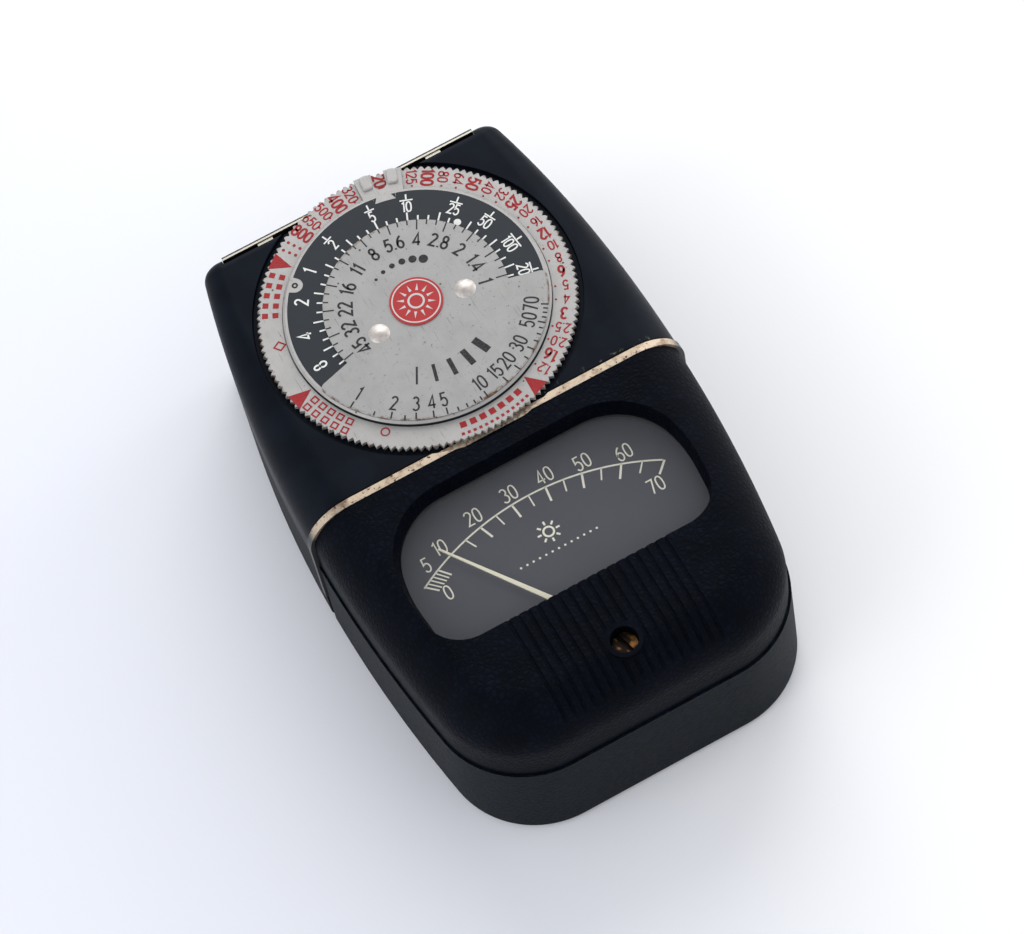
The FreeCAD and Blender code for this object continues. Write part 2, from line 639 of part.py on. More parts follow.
def lead_wires():
    """Two wires from the cell's contacts back to the movement's upper bridge and resistor."""
    r = 2.0
    mid = r * (1 - math.sqrt(0.5))
    wires = []
    for x, bend, end in ((-19.2, -9.5, -20.5), (19.2, -9.5, -15.2)):
        start = V(x, -6.3, 14)
        upper = Part.Arc(V(x, bend + r, 14), V(x, bend + mid, 14 - mid), V(x, bend, 14 - r))
        lower = Part.Arc(V(x, bend, 6.5), V(x, bend - mid, 6.5 - r + mid), V(x, bend - r, 4.5))
        run = [
            Part.LineSegment(start, V(x, bend + r, 14)).toShape(),
            upper.toShape(),
            Part.LineSegment(V(x, bend, 14 - r), V(x, bend, 6.5)).toShape(),
            lower.toShape(),
            Part.LineSegment(V(x, bend - r, 4.5), V(x, end, 4.5)).toShape(),
        ]
        profile = Part.Wire(Part.makeCircle(0.4, start, V(0, 1, 0)))
        wires.append(Part.Wire(run).makePipeShell([profile], True, False))
    return group(*wires)


def trimming_resistor():
    """Wire-wound bobbin standing on the floor beside the magnet."""
    x, y = 20.4, -18.8
    flanges = rod(2.4, x, y, WALL, WALL + 0.8).fuse(rod(2.4, x, y, 11.2, 12.0))
    return fuse(flanges, rod(2.0, x, y, WALL + 0.8, 11.2))


def catch_springs():
    """Bent leaf springs on the neck's two sides, which grip the hood."""
    leaf = [(NECK_HALF, -0.5, 0), (NECK_HALF, 3.9, 0), (NECK_HALF + 0.4, 3.9, 0), (NECK_HALF + 1.6, 2.2, 0),
            (NECK_HALF + 0.4, 0.4, 0), (NECK_HALF + 0.4, -0.5, 0)]
    return pair(slab(leaf, 11.0, 17.0))


# ---- hood ------------------------------------------------------------------------------------------
POST_BOSSES = (20.6, 39.0)
FRONT_WALL = 1.9
SILL_Y = 42.7
LINTEL_Y = 43.3


def light_opening():
    """What is cut from the hood's end: the way in for light and the slot that the cover lies in."""
    way_in = box(-18.4, 18.4, 40, 60, 3.0, 28.6)
    slot = box(-OPENING_HALF, OPENING_HALF, LINTEL_Y, 60, -5, 50)
    sill = box(-OPENING_HALF, OPENING_HALF, SILL_Y, 60, -5, 8)
    return [way_in, slot, sill]


def hood_front_shell():
    shell = hood_block(SEAM_Z, HEIGHT, 0, HOOD_START, HOOD_LENGTH, (CROWN_R, CROWN_END_R), end_r=POST_R)
    cavity = hood_block(SEAM_Z - 1, HEIGHT - WALL, WALL, 0.1, HOOD_LENGTH - FRONT_WALL,
                        (CROWN_R - WALL, CROWN_END_R - WALL))
    dial_floor = rod(WELL_R + 1.0, 0, DIAL_Y, WELL_Z - WALL, HEIGHT - 1.0).common(
        hood_block(SEAM_Z, HEIGHT - 1, 0.5, HOOD_START, HOOD_LENGTH - FRONT_WALL,
                   (CROWN_R - 0.5, CROWN_END_R - 0.5)))
    boss = rod(1.9, POST_BOSSES[0], POST_BOSSES[1], SEAM_Z, HEIGHT - 4.0)
    shell = shell.cut(cavity).fuse([dial_floor, boss, mirrored(boss)])
    hole = rod(0.8, POST_BOSSES[0], POST_BOSSES[1], SEAM_Z - 1, HEIGHT - 6.0)
    shell = shell.cut([dial_well(), rod(2.5, 0, DIAL_Y, 20, 35), hole, mirrored(hole)])
    return shell.cut(light_opening()).removeSplitter()


def hood_back_shell():
    shell = hood_block(0, SEAM_Z, 0, HOOD_START, HOOD_LENGTH, foot_r=BACK_R, end_r=POST_R)
    cavity = hood_block(WALL, SEAM_Z + 1, WALL, 0.1, HOOD_LENGTH - FRONT_WALL)
    boss = rod(1.9, POST_BOSSES[0], POST_BOSSES[1], WALL - 0.5, SEAM_Z)
    shell = shell.cut(cavity).fuse([boss, mirrored(boss)])
    hole = rod(0.9, POST_BOSSES[0], POST_BOSSES[1], -1, SEAM_Z + 1)
    sink = rod(1.7, POST_BOSSES[0], POST_BOSSES[1], -1, 1.3)
    shell = shell.cut([hole, mirrored(hole), sink, mirrored(sink)])
    shell = shell.cut(light_opening()).cut(rod_x(0.5, -22.2, 22.2, HINGE_Y, HINGE_Z))
    return shell.removeSplitter()


def hood_screws():
    x, y = POST_BOSSES
    head = rod(1.6, x, y, 0.15, 1.3).cut(box(x - 2, x + 2, y - 0.22, y + 0.22, -1, 0.6))
    return pair(head.fuse(rod(0.8, x, y, 1.3, HEIGHT - 6.4)))


def hood_liner():
    """Blackened sheet-metal light tunnel from the neck to the opening, with a flange at each end."""
    sheet = 0.4
    outer = box(-20.6, 20.6, 6.0, 42.5, 3.4, 24.6)
    inner = box(-20.6 + sheet, 20.6 - sheet, 5, 44, 3.4 + sheet, 24.6 - sheet)
    outer = outer.cut(rod(2.2, POST_BOSSES[0], POST_BOSSES[1], 0, 30)).cut(
        mirrored(rod(2.2, POST_BOSSES[0], POST_BOSSES[1], 0, 30)))
    tunnel = outer.cut(inner)
    flange = box(-18.3, 18.3, 42.1, 42.5, 24.6, 28.4).fuse(box(-26.0, 26.0, 6.0, 6.4, 24.6, 26.4))
    return fuse(tunnel, flange)


# ---- dial ------------------------------------------------------------------------------------------
DISC_TOP = RING_TOP + 0.8
PLATE_UNDER = DISC_TOP + 0.05
PLATE_TOP = 32.45


def dial_hub():
    """Boss that ring and disc turn on: it stands in the well and its stud goes through the shell."""
    boss = rod(HUB_R, 0, DIAL_Y, WELL_Z, PLATE_UNDER)
    stud = rod(2.5, 0, DIAL_Y, 25.2, WELL_Z)
    shape = fuse(boss, stud)
    for x in (-RIVET_X, RIVET_X):
        shape = shape.cut(rod(0.9, x, DIAL_Y + RIVET_DY, WELL_Z + 0.6, 40))
    return shape


def hub_washer():
    return tube(4.6, 2.5, 0, DIAL_Y, WELL_Z - WALL - 0.4, WELL_Z - WALL)


def hub_nut():
    corners = [(4.1 * math.cos(math.radians(60 * k)), DIAL_Y + 4.1 * math.sin(math.radians(60 * k)), 0)
               for k in range(6)]
    top = WELL_Z - WALL - 0.4
    return slab(corners, top - 1.7, top).cut(rod(2.5, 0, DIAL_Y, 20, 40))


def dial_washer():
    return tube(12.5, HUB_R + 0.4, 0, DIAL_Y, WELL_Z, WELL_Z + 0.15)


def toothed_outline(r_tip, r_root, teeth):
    points = []
    for k in range(teeth):
        for fraction, r in ((0.0, r_tip), (0.5, r_root)):
            a = math.pi / 2 + 2 * math.pi * (k + fraction) / teeth
            points.append(V(r * math.cos(a), DIAL_Y + r * math.sin(a), 0))
    return Part.Face(Part.makePolygon(points + points[:1]))


def exposure_ring():
    """Serrated ring: a raised outer track for the film speeds and a lowered seat for the disc."""
    bottom = WELL_Z + 0.2
    body = toothed_outline(RING_R, RING_R - TOOTH_DEPTH, TEETH).extrude(V(0, 0, RING_TOP - bottom))
    body.translate(V(0, 0, bottom))
    bevel = tube(RING_R + 1, RING_R - 1.4, 0, DIAL_Y, RING_TOP - 1, RING_TOP + 1)
    cone = Part.makeCone(RING_R + 1.2, RING_R - 0.8, 2.0, V(0, DIAL_Y, RING_TOP - 1.4))
    body = body.cut(bevel.cut(cone))
    seat = rod(RING_INNER_R, 0, DIAL_Y, RING_TOP - 0.45, 40)
    return body.cut([seat, rod(HUB_R + RUNNING, 0, DIAL_Y, 20, 40)])


def speed_disc():
    """Shutter-speed disc; its index plate reaches over the ring's track and carries two finger tabs."""
    lift = RING_TOP + 0.08
    disc = rod(DISC_R, 0, DIAL_Y, RING_TOP - 0.35, DISC_TOP)
    disc = disc.makeChamfer(0.35, edges_where(disc, lambda b: b.ZMin > DISC_TOP - 0.01))
    wedge = [V(0, DIAL_Y, 0)]
    for a in (POINTER_ANGLE - 9.0, POINTER_ANGLE, POINTER_ANGLE + 9.0):
        t = math.radians(90 + a)
        wedge.append(V(30 * math.cos(t), DIAL_Y + 30 * math.sin(t), 0))
    wedge = Part.Face(Part.makePolygon(wedge + wedge[:1])).extrude(V(0, 0, 5))
    wedge.translate(V(0, 0, 30))
    index = tube(TAB_R[1], 17.5, 0, DIAL_Y, lift, DISC_TOP - 0.15).common(wedge)
    window = [(-0.95, DIAL_Y + 19.8, 0.9), (0.95, DIAL_Y + 19.8, 0.9),
              (0.95, DIAL_Y + 26, 0), (-0.95, DIAL_Y + 26, 0)]
    index = index.cut(turned(slab(window, 31, 33), POINTER_ANGLE, 0, DIAL_Y))
    tabs = []
    for a in TAB_ANGLES:
        pad = slab([(-0.8, DIAL_Y + TAB_R[0], 0.4), (0.8, DIAL_Y + TAB_R[0], 0.4),
                    (0.8, DIAL_Y + TAB_R[1], 0.6), (-0.8, DIAL_Y + TAB_R[1], 0.6)], lift, RING_TOP + 1.0)
        rim = edges_where(pad, lambda b: b.ZMin > RING_TOP + 0.99)
        tabs.append(turned(pad.makeFillet(0.25, rim), a, 0, DIAL_Y))
    shape = disc.fuse([index] + tabs)
    return shape.cut(rod(HUB_R + RUNNING, 0, DIAL_Y, 20, 40)).removeSplitter()


def top_plate():
    """Fixed scale plate: a small arc for the f-stops and a wide sector for the light scale."""
    fall = math.radians(SECTOR_DROP)
    right = [(r * math.cos(fall), DIAL_Y - r * math.sin(fall)) for r in (8.0, 40.0)]
    wedge = [(-right[0][0], right[0][1]), (-right[1][0], right[1][1]),
             (-40, DIAL_Y - 40), (40, DIAL_Y - 40), right[1], right[0]]
    wedge = slab([(x, y, 0) for x, y in wedge], PLATE_UNDER, PLATE_TOP)
    sector = rod(PLATE_SECTOR_R, 0, DIAL_Y, PLATE_UNDER, PLATE_TOP).common(wedge)
    corner_edges = edges_where(
        sector, lambda b: b.ZLength > 0.2 and b.XLength < 0.01 and b.YLength < 0.01
        and abs(b.XMin) > PLATE_SECTOR_R * 0.8)
    sector = sector.makeFillet(0.9, corner_edges)
    shape = fuse(sector, rod(PLATE_ARC_R, 0, DIAL_Y, PLATE_UNDER, PLATE_TOP))
    for x in (-RIVET_X, RIVET_X):
        shape = shape.cut(rod(0.9, x, DIAL_Y + RIVET_DY, 20, 40))
    return shape


def dial_rivets():
    solids = []
    for x in (-RIVET_X, RIVET_X):
        y = DIAL_Y + RIVET_DY
        height, half = 0.48, 1.55
        r = (half * half + height * height) / (2 * height)
        ball = Part.makeSphere(r, V(x, y, PLATE_TOP + height - r))
        head = ball.common(rod(half + 0.5, x, y, PLATE_TOP, PLATE_TOP + 2))
        solids.append(head.fuse(rod(0.9, x, y, WELL_Z + 0.6, PLATE_TOP)).removeSplitter())
    return group(*solids)


def medallion():
    return rod(3.85, 0, DIAL_Y, PLATE_TOP, PLATE_TOP + 0.2)


# ---- cover -----------------------------------------------------------------------------------------
def cover():
    """Perforated metal cover: hinge knuckles at its foot and two catch tabs at its head."""
    y0, y1 = HINGE_Y + 0.25, HINGE_Y + 0.25 + COVER_THICK
    top = WELL_Z + 0.05
    sheet = box(-OPENING_HALF + 0.2, OPENING_HALF - 0.2, y0, y1, HINGE_Z + 1.3, top)
    knuckles = []
    for x in (-15.0, 0.0, 15.0):
        knuckle = rod_x(1.0, x - 3.0, x + 3.0, HINGE_Y, HINGE_Z)
        web = box(x - 3.0, x + 3.0, y0, y1, HINGE_Z, HINGE_Z + 1.5)
        knuckles.append(knuckle.fuse(web))
    tabs = [box(x - 1.2, x + 1.2, LINTEL_Y + 0.2, y0 + 0.1, top - 0.6, top - 0.2) for x in (-13.7, 13.7)]
    shape = fuse(sheet, *knuckles, *tabs).cut(rod_x(0.5 + RUNNING, -21, 21, HINGE_Y, HINGE_Z))
    holes = []
    for row in range(6):
        for column in range(9):
            x = (column - 4) * 3.6 + (0.9 if row % 2 else -0.9)
            z = 8.0 + row * 3.1
            holes.append(Part.makeCylinder(0.55, 2, V(x, y0 - 0.5, z), ALONG))
    return shape.cut(holes)


def cover_hinge_pin():
    return rod_x(0.5, -22.2, 22.2, HINGE_Y, HINGE_Z)


NODES = {
    "back_shell": back_shell,
    "front_shell": front_shell,
    "trim_band": trim_band,
    "window_glass": window_glass,
    "glass_retainer": glass_retainer,
    "scale_plate": scale_plate,
    "scale_pillars": scale_pillars,
    "scale_screws": scale_screws,
    "movement_frame": movement_frame,
    "magnet": magnet,
    "pole_pieces": pole_pieces,
    "iron_core": iron_core,
    "core_bracket": core_bracket,
    "upper_bridge": upper_bridge,
    "lower_bridge": lower_bridge,
    "jewel_screws": jewel_screws,
    "bridge_screws": bridge_screws,
    "selenium_cell": selenium_cell,
    "cell_contact_ring": cell_contact_ring,
    "cell_back_contact": cell_back_contact,
    "cell_frame": cell_frame,
    "cell_glass": cell_glass,
    "lead_wires": lead_wires,
    "trimming_resistor": trimming_resistor,
    "case_screws": case_screws,
    "catch_springs": catch_springs,
    "needle": needle,
    "moving_coil": moving_coil,
    "pointer_staff": pointer_staff,
    "balance_weights": balance_weights,
    "zero_screw": zero_screw,
    "zero_arm": zero_arm,
    "hood_front_shell": hood_front_shell,
    "hood_back_shell": hood_back_shell,
    "hood_liner": hood_liner,
    "hood_screws": hood_screws,
    "dial_hub": dial_hub,
    "hub_washer": hub_washer,
    "hub_nut": hub_nut,
    "dial_washer": dial_washer,
    "top_plate": top_plate,
    "dial_rivets": dial_rivets,
    "medallion": medallion,
    "cover_hinge_pin": cover_hinge_pin,
    "exposure_ring": exposure_ring,
    "speed_disc": speed_disc,
    "cover": cover,
}

for name, make in NODES.items():
    part = make()
    export(name, part)
    print(name, "solids", len(part.Solids), "valid", part.isValid(), "volume", round(part.Volume, 2))

export("upper_hairspring", hairspring(22.75, ARM_Z[0], -90))
export("lower_hairspring", hairspring(6.75, BRIDGE_LOW[1], 0))
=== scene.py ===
import math

import bpy
from mathutils import Matrix, Vector


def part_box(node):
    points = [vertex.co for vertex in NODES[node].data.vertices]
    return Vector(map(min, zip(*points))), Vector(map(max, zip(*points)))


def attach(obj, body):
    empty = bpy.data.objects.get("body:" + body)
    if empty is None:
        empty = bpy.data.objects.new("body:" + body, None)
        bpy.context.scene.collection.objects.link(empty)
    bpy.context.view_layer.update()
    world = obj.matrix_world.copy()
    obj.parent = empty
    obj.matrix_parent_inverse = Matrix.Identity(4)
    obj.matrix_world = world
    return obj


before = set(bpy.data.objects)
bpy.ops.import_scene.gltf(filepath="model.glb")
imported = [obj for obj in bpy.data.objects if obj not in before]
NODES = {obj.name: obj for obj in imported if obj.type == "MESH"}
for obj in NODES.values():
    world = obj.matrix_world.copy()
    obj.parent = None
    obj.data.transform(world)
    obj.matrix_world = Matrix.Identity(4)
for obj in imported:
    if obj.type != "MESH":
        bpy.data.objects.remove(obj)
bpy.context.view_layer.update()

MM = 0.001


def box_mm(node):
    """(lowest corner, highest corner) of a CAD node, in millimetres."""
    low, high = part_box(node)
    return low / MM, high / MM


# ---- places read from the frame, in millimetres -----------------------------------------------------
ring_low, ring_high = box_mm("exposure_ring")
DIAL_Y = (ring_low.y + ring_high.y) / 2
RING_TOP = ring_high.z
PLATE_TOP = box_mm("top_plate")[1].z
MEDAL_TOP = box_mm("medallion")[1].z
SCALE_TOP = box_mm("scale_plate")[1].z
screw_low, screw_high = box_mm("zero_screw")
SCREW_Y = (screw_low.y + screw_high.y) / 2
COVER_TOP = box_mm("cover")[1].z
PIVOT_Y = -32.8
DISC_TOP = RING_TOP + 0.8
INK = 0.02


# ====================================================================================================
# Node materials
# ====================================================================================================
class Paint:
    """A material whose nodes are added one call at a time. Lengths inside it are millimetres."""

    def __init__(self, name, **constants):
        self.mat = bpy.data.materials.new(name)
        self.mat.use_nodes = True
        self.tree = self.mat.node_tree
        self.shader = self.tree.nodes["Principled BSDF"]
        for key, value in constants.items():
            self.shader.inputs[key.replace("_", " ")].default_value = value
        self.place = None

    def node(self, kind, inputs=None, **settings):
        n = self.tree.nodes.new("ShaderNode" + kind)
        for key, value in settings.items():
            setattr(n, key, value)
        for key, value in (inputs or {}).items():
            self.put(n.inputs[key], value)
        return n

    def put(self, socket, value):
        if isinstance(value, bpy.types.NodeSocket):
            self.tree.links.new(value, socket)
        else:
            socket.default_value = value

    def set(self, name, value):
        self.put(self.shader.inputs[name], value)

    def mm(self, stretch=(1, 1, 1), turn=0.0):
        """Position on the object in millimetres, with each axis stretched."""
        if self.place is None:
            self.place = self.node("TexCoord").outputs["Object"]
        scale = [s / MM for s in stretch]
        n = self.node("Mapping", {"Vector": self.place, "Scale": scale, "Rotation": (0, 0, turn)})
        return n.outputs["Vector"]

    def axis(self, letter):
        n = self.node("SeparateXYZ", {"Vector": self.mm()})
        return n.outputs[letter]

    def math(self, operation, *values):
        n = self.node("Math", dict(enumerate(values)), operation=operation)
        return n.outputs[0]

    def noise(self, scale, detail=2.0, rough=0.5, vector=None, distortion=0.0):
        n = self.node("TexNoise", {"Vector": vector or self.mm(), "Scale": scale, "Detail": detail,
                                   "Roughness": rough, "Distortion": distortion})
        return n.outputs["Fac"]

    def cells(self, scale, feature="F1", vector=None):
        n = self.node("TexVoronoi", {"Vector": vector or self.mm(), "Scale": scale}, feature=feature)
        return n.outputs["Distance"]

    def warped(self, amount, scale, stretch=(1, 1, 1)):
        """Positions pushed about by a colour noise, for grain that isn't regular."""
        n = self.node("TexNoise", {"Vector": self.mm(stretch), "Scale": scale, "Detail": 2.0})
        push = self.node("VectorMath", {0: n.outputs["Color"], 1: (amount, amount, amount)},
                         operation="MULTIPLY")
        total = self.node("VectorMath", {0: self.mm(stretch), 1: push.outputs[0]}, operation="ADD")
        return total.outputs[0]

    def step(self, value, low, high):
        """0 below low, 1 above high and smooth between them; low above high turns it round."""
        if low > high:
            return self.math("SUBTRACT", 1.0, self.step(value, high, low))
        n = self.node("MapRange", {"Value": value, "From Min": low, "From Max": high},
                      interpolation_type="SMOOTHSTEP")
        return n.outputs["Result"]

    def spread(self, value, low, high):
        n = self.node("MapRange", {"Value": value, "To Min": low, "To Max": high})
        return n.outputs["Result"]

    def mix(self, fac, a, b):
        n = self.node("Mix", data_type="RGBA")
        self.put(n.inputs[0], fac)
        self.put(n.inputs[6], a if isinstance(a, bpy.types.NodeSocket) else (*a, 1))
        self.put(n.inputs[7], b if isinstance(b, bpy.types.NodeSocket) else (*b, 1))
        return n.outputs[2]

    def radius(self, x, y):
        """Distance from the vertical axis through x, y."""
        dx = self.math("SUBTRACT", self.axis("X"), x)
        dy = self.math("SUBTRACT", self.axis("Y"), y)
        squares = self.math("ADD", self.math("MULTIPLY", dx, dx), self.math("MULTIPLY", dy, dy))
        return self.math("SQRT", squares)

    def bump(self, height, depth, strength=1.0, below=None):
        """Height from 0 to 1 as relief of that depth in millimetres."""
        inputs = {"Height": height, "Distance": depth * MM, "Strength": strength}
        if below is not None:
            inputs["Normal"] = below
        return self.node("Bump", inputs).outputs["Normal"]


def srgb(r, g, b):
    """An 8-bit display colour as a linear one."""
    def lin(c):
        c /= 255
        return c / 12.92 if c <= 0.04045 else ((c + 0.055) / 1.055) ** 2.4
    return (lin(r), lin(g), lin(b))


def wrinkled_black():
    """Moulded black with a leathery grain, polished smooth around the zero screw and a gate mark; the grain's
    creases are darkened in colour as painted shade.
    """
    p = Paint("base_front_black", Roughness=0.5, Specular_IOR_Level=0.05, Specular_Tint=(0.8, 0.9, 1.0, 1.0))
    near = p.warped(0.5, 0.9)
    coarse = p.step(p.cells(1.15, "DISTANCE_TO_EDGE", near), 0.02, 0.34)
    fine = p.step(p.cells(2.6, "DISTANCE_TO_EDGE", near), 0.02, 0.3)
    dust = p.noise(5.0, 3.0)
    grain = p.math("ADD", p.math("MULTIPLY", coarse, 0.6), p.math("MULTIPLY", fine, 0.25))
    grain = p.math("ADD", grain, p.math("MULTIPLY", dust, 0.15))
    around_screw = p.step(p.radius(0.0, SCREW_Y), 3.6, 2.4)
    gate_mark = p.step(p.radius(1.7, -30.2), 1.5, 1.1)
    smooth = p.math("MAXIMUM", around_screw, gate_mark)
    lower = p.step(p.axis("Z"), 21.5, 18.9)
    plain = p.math("MAXIMUM", smooth, p.math("MULTIPLY", lower, 0.7))
    relief = p.math("MULTIPLY", grain, p.math("SUBTRACT", 1.0, plain))
    p.set("Normal", p.bump(relief, 0.07, 0.9))
    patch = p.noise(0.22, 3.0, 0.6)
    colour = p.mix(p.step(patch, 0.35, 0.7), srgb(3, 6, 14), srgb(8, 12, 23))
    # painted shade: the creases between the grain's cells are coloured near black
    colour = p.mix(p.math("MULTIPLY", p.math("SUBTRACT", 1.0, coarse), 0.6), colour, srgb(1, 2, 6))
    p.set("Base Color", colour)
    p.set("Roughness", p.spread(p.noise(1.6, 3.0), 0.42, 0.6))
    return p.mat


def satin_black():
    """Moulded black with a very fine grain; chips of bare metal dust beside the band."""
    p = Paint("hood_front_black", Roughness=0.45, Specular_IOR_Level=0.08,
              Specular_Tint=(0.85, 0.93, 1.0, 1.0))
    tiny = p.noise(3.4, 3.0, 0.6)
    wide = p.noise(0.6, 3.0, 0.6)
    relief = p.math("ADD", p.math("MULTIPLY", tiny, 0.7), p.math("MULTIPLY", wide, 0.5))
    p.set("Normal", p.bump(relief, 0.012, 0.6))
    colour = p.mix(p.step(p.noise(0.16, 2.0), 0.35, 0.7), srgb(7, 11, 19), srgb(12, 17, 26))
    rim = p.math("MULTIPLY", p.step(p.axis("Y"), 1.7, 0.9), p.step(p.axis("Z"), 29.5, 30.6))
    right = p.step(p.axis("X"), 6.0, 9.0)
    chips = p.math("MULTIPLY", p.step(p.noise(1.1, 4.0, 0.7), 0.59, 0.63), p.math("MULTIPLY", rim, right))
    p.set("Base Color", p.mix(chips, colour, srgb(84, 84, 72)))
    p.set("Roughness", p.spread(p.noise(1.1, 3.0), 0.36, 0.52))
    return p.mat


def back_black(name, dark, light):
    """Moulded black of the back shells: a fine grain that runs around the walls."""
    p = Paint(name, Roughness=0.55, Specular_IOR_Level=0.085, Specular_Tint=(0.8, 0.92, 1.0, 1.0))
    streak = p.noise(2.2, 3.0, 0.6, p.mm((0.55, 0.55, 2.2)))
    pebble = p.cells(3.4, "SMOOTH_F1", p.warped(0.35, 2.0, (0.7, 0.7, 1.2)))
    relief = p.math("ADD", p.math("MULTIPLY", streak, 0.6), p.math("MULTIPLY", pebble, 0.6))
    p.set("Normal", p.bump(relief, 0.07, 1.0))
    colour = p.mix(p.step(p.noise(1.2, 4.0, 0.65), 0.3, 0.75), dark, light)
    p.set("Base Color", p.mix(p.step(streak, 0.42, 0.6), [c * 0.55 for c in dark], colour))
    p.set("Roughness", p.spread(p.noise(2.5, 3.0), 0.48, 0.64))
    return p.mat


def band_metal():
    """Pale gold plating, worn and dotted with chips on top, with painted shade darkening it down the sides.
    """
    p = Paint("band_gold", Metallic=0.75, Roughness=0.4)
    stain = p.step(p.noise(0.5, 4.0, 0.7), 0.45, 0.72)
    colour = p.mix(stain, srgb(200, 182, 160), srgb(140, 116, 96))
    dots = p.step(p.noise(1.7, 3.0, 0.6), 0.60, 0.66)
    colour = p.mix(dots, colour, srgb(74, 56, 46))
    # painted shade: below z 28.6 the band turns down the sides and is coloured dark and made less metallic,
    # standing in for the shadow there
    side = p.step(p.axis("Z"), 28.6, 26.2)
    colour = p.mix(side, colour, srgb(30, 30, 30))
    p.set("Base Color", colour)
    p.set("Metallic", p.math("SUBTRACT", 0.75, p.math("MULTIPLY", side, 0.7)))
    p.set("Roughness", p.spread(p.noise(3.0, 3.0), 0.3, 0.5))
    p.set("Normal", p.bump(p.noise(1.4, 3.0), 0.02, 0.5))
    return p.mat


def silver_face(name, tint, wear, dark_below=None):
    """Satin silver of the printed dial parts, with specks, scratches and brown wear at the given radii.

    A side wall near the dial's inner circle is coloured dark under the height dark_below.
    """
    p = Paint(name, Metallic=0.3, Roughness=0.45, Specular_IOR_Level=0.3)
    r = p.radius(0.0, DIAL_Y)
    base = p.mix(p.step(p.noise(0.35, 4.0, 0.6), 0.3, 0.75), tint, [c * 0.9 for c in tint])
    specks = p.step(p.noise(2.3, 3.0, 0.65), 0.655, 0.70)
    base = p.mix(p.math("MULTIPLY", specks, 0.7), base, srgb(92, 86, 78))
    pits = p.math("MULTIPLY", p.step(p.cells(0.55), 0.11, 0.07), p.step(p.noise(0.4, 2.0), 0.5, 0.6))
    base = p.mix(pits, base, srgb(70, 62, 54))
    lines = p.noise(1.0, 2.0, 0.5, p.mm((6.0, 0.35, 1.0), 0.9), 0.6)
    base = p.mix(p.math("MULTIPLY", p.step(lines, 0.66, 0.72), 0.5), base, srgb(112, 110, 106))
    for low, high, x0, x1, y0, y1 in wear:
        edge = p.math("MULTIPLY", p.step(r, low, high), p.step(p.noise(0.9, 4.0, 0.7), 0.42, 0.62))
        across = p.math("MULTIPLY", p.step(p.axis("X"), x0 - 1.5, x0), p.step(p.axis("X"), x1 + 1.5, x1))
        along = p.math("MULTIPLY", p.step(p.axis("Y"), y0 - 1.5, y0), p.step(p.axis("Y"), y1 + 1.5, y1))
        base = p.mix(p.math("MULTIPLY", edge, p.math("MULTIPLY", across, along)), base, srgb(92, 64, 38))
    if dark_below is not None:
        wall = p.math("MULTIPLY", p.step(p.axis("Z"), dark_below, dark_below - 0.06), p.step(r, 19.35, 19.25))
        base = p.mix(wall, base, srgb(40, 42, 46))
    p.set("Base Color", base)
    p.set("Roughness", p.spread(p.noise(4.0, 3.0), 0.34, 0.5))
    p.set("Normal", p.bump(p.noise(6.0, 2.0), 0.004, 0.5))
    return p.mat


def ink(name, colour, rough=0.55, worn=0.0):
    """Printed ink with a little thinning."""
    p = Paint(name, Roughness=rough, Specular_IOR_Level=0.3)
    thin = p.step(p.noise(3.5, 4.0, 0.7), 0.35, 0.75)
    p.set("Base Color", p.mix(thin, colour, [c * (1 - worn) + worn * 0.4 for c in colour]))
    p.set("Normal", p.bump(p.noise(8.0, 2.0), 0.003, 0.4))
    return p.mat


def scale_face():
    """Grey printed ground of the meter scale."""
    p = Paint("scale_grey", Roughness=0.6, Specular_IOR_Level=0.1)
    p.set("Base Color", p.mix(p.noise(0.3, 3.0), srgb(47, 48, 55), srgb(54, 54, 62)))
    p.set("Normal", p.bump(p.noise(7.0, 2.0), 0.004, 0.3))
    return p.mat


def turned_metal(name, colour, rough, dull=0.75):
    """Lathe-turned or cut metal with fine marks and a little tarnish."""
    p = Paint(name, Metallic=1.0, Roughness=rough)
    p.set("Base Color", p.mix(p.step(p.noise(1.6, 4.0, 0.65), 0.4, 0.75), colour, [c * dull for c in colour]))
    p.set("Roughness", p.spread(p.noise(5.0, 3.0, 0.6, p.mm((1, 1, 5))), rough - 0.08, rough + 0.12))
    p.set("Normal", p.bump(p.noise(9.0, 2.0, 0.5, p.mm((1, 1, 4))), 0.004, 0.5))
    return p.mat


def tarnished_brass():
    """Brass gone nearly black, rubbed bright in patches."""
    p = Paint("brass_tarnished", Metallic=0.8, Roughness=0.4)
    rubbed = p.step(p.noise(0.7, 1.0, 0.4), 0.52, 0.66)
    p.set("Base Color", p.mix(rubbed, srgb(28, 19, 12), srgb(150, 104, 54)))
    p.set("Roughness", p.spread(p.noise(4.0, 3.0), 0.3, 0.5))
    p.set("Normal", p.bump(p.noise(5.0, 2.0), 0.01, 0.5))
    return p.mat


def plain_coat(name, colour, rough=0.6, metallic=0.0):
    """Paint or moulding with a fine uneven surface."""
    p = Paint(name, Roughness=rough, Metallic=metallic, Specular_IOR_Level=0.3)
    p.set("Base Color", p.mix(p.noise(1.2, 4.0, 0.6), colour, [c * 0.75 for c in colour]))
    p.set("Normal", p.bump(p.noise(5.0, 3.0), 0.01, 0.5))
    return p.mat


def clear_glass(name):
    """Thin clear glass: nearly everything passes, with a faint reflection and a trace of dust."""
    p = Paint(name, Roughness=0.04, IOR=1.45, Alpha=0.03, Specular_IOR_Level=0.3)
    p.set("Base Color", (0.9, 0.93, 0.95, 1))
    p.set("Roughness", p.spread(p.step(p.noise(1.5, 4.0, 0.7), 0.5, 0.8), 0.03, 0.12))
    return p.mat


